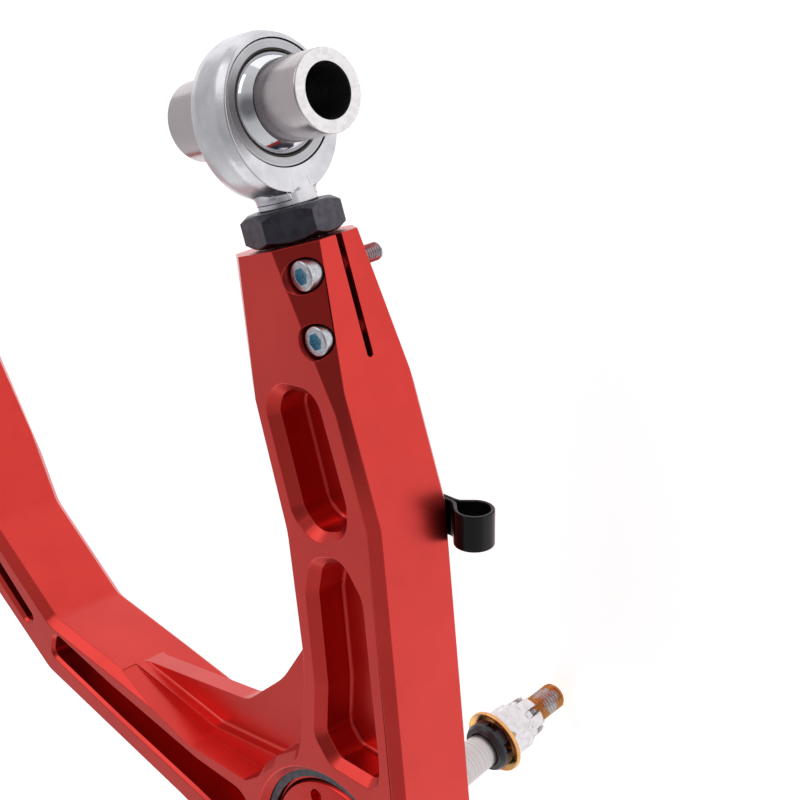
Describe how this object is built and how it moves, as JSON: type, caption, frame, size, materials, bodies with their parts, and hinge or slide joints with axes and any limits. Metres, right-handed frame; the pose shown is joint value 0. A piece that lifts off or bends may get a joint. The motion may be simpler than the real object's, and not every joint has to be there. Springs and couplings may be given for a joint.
{
  "type": "control arm",
  "caption": "Pocketed A-shaped suspension arm with a clamped rod end on each leg and a ball joint whose threaded stud points down at the outboard end.",
  "frame": {"origin": "middle of the inner pivot axis, halfway between the two rod end ball centres", "axes": "+X along the pivot axis towards the swept leg, +Y outboard towards the ball joint, +Z out of the pocketed top face, away from the stud"},
  "size_m": [0.3003, 0.3186, 0.1235],
  "materials": {
    "red_anodised": "satin red anodised, fine machining marks",
    "red_cap": "satin red anodised",
    "zinc_plated_steel": "zinc plated",
    "race_steel": "ground",
    "fabric_liner": "matt woven liner",
    "chromed_ball": "mirror",
    "machined_steel": "turned, satin",
    "black_oxide_steel": "black oxide, semi-gloss",
    "seat_polymer": "moulded",
    "spring_steel": "phosphated",
    "black_plastic": "moulded",
    "yellow_zinc": "yellow zinc plated",
    "bright_zinc_nut": "bright zinc plated",
    "black_vinyl": "glossy dipped vinyl"
  },
  "bodies": {
    "arm": {"arm_body": "red_anodised", "near_pinch_bolt_1": "zinc_plated_steel", "near_pinch_bolt_2": "zinc_plated_steel", "far_pinch_bolt_1": "zinc_plated_steel", "far_pinch_bolt_2": "zinc_plated_steel", "ball_seat_upper": "seat_polymer", "ball_seat_lower": "seat_polymer", "ball_cap": "red_cap", "ball_lock_ring": "spring_steel", "clip_band": "black_vinyl", "clip_screw": "zinc_plated_steel"},
    "near_rod_end": {"near_housing": "zinc_plated_steel", "near_race": "race_steel", "near_liner": "fabric_liner", "near_jam_nut": "black_oxide_steel"},
    "near_ball": {"near_ball": "chromed_ball"},
    "near_spacers": {"near_spacer_outer": "machined_steel", "near_spacer_inner": "machined_steel"},
    "far_rod_end": {"far_housing": "zinc_plated_steel", "far_race": "race_steel", "far_liner": "fabric_liner", "far_jam_nut": "black_oxide_steel"},
    "far_ball": {"far_ball": "chromed_ball"},
    "far_spacers": {"far_spacer_outer": "machined_steel", "far_spacer_inner": "machined_steel"},
    "ball": {"joint_ball": "chromed_ball"},
    "stud": {"joint_stud": "machined_steel", "stud_retainer": "black_plastic", "stud_washer": "yellow_zinc", "stud_nut": "bright_zinc_nut"}
  },
  "joints": [
    {"name": "near_length", "type": "slide", "parent": "arm", "child": "near_rod_end", "axis": [0, -1, 0], "range_m": [0, 0.008]},
    {"name": "near_tilt", "type": "hinge", "parent": "near_rod_end", "child": "near_ball", "pos_m": [-0.117, 0, 0], "axis": [0, 0, 1], "range_deg": [-12, 12]},
    {"name": "near_spin", "type": "hinge", "parent": "near_ball", "child": "near_spacers", "pos_m": [-0.117, 0, 0], "axis": [1, 0, 0], "continuous": true},
    {"name": "far_length", "type": "slide", "parent": "arm", "child": "far_rod_end", "axis": [0, -1, 0], "range_m": [0, 0.008]},
    {"name": "far_tilt", "type": "hinge", "parent": "far_rod_end", "child": "far_ball", "pos_m": [0.117, 0, 0], "axis": [0, 0, 1], "range_deg": [-12, 12]},
    {"name": "far_spin", "type": "hinge", "parent": "far_ball", "child": "far_spacers", "pos_m": [0.117, 0, 0], "axis": [1, 0, 0], "continuous": true},
    {"name": "stud_tilt", "type": "hinge", "parent": "arm", "child": "ball", "pos_m": [-0.0672, 0.2535, -0.003], "axis": [0.9367, -0.3502, 0], "range_deg": [-14, 33]},
    {"name": "stud_spin", "type": "hinge", "parent": "ball", "child": "stud", "pos_m": [-0.0672, 0.2535, -0.003], "axis": [-0.0584, -0.1562, -0.986], "continuous": true}
  ]
}
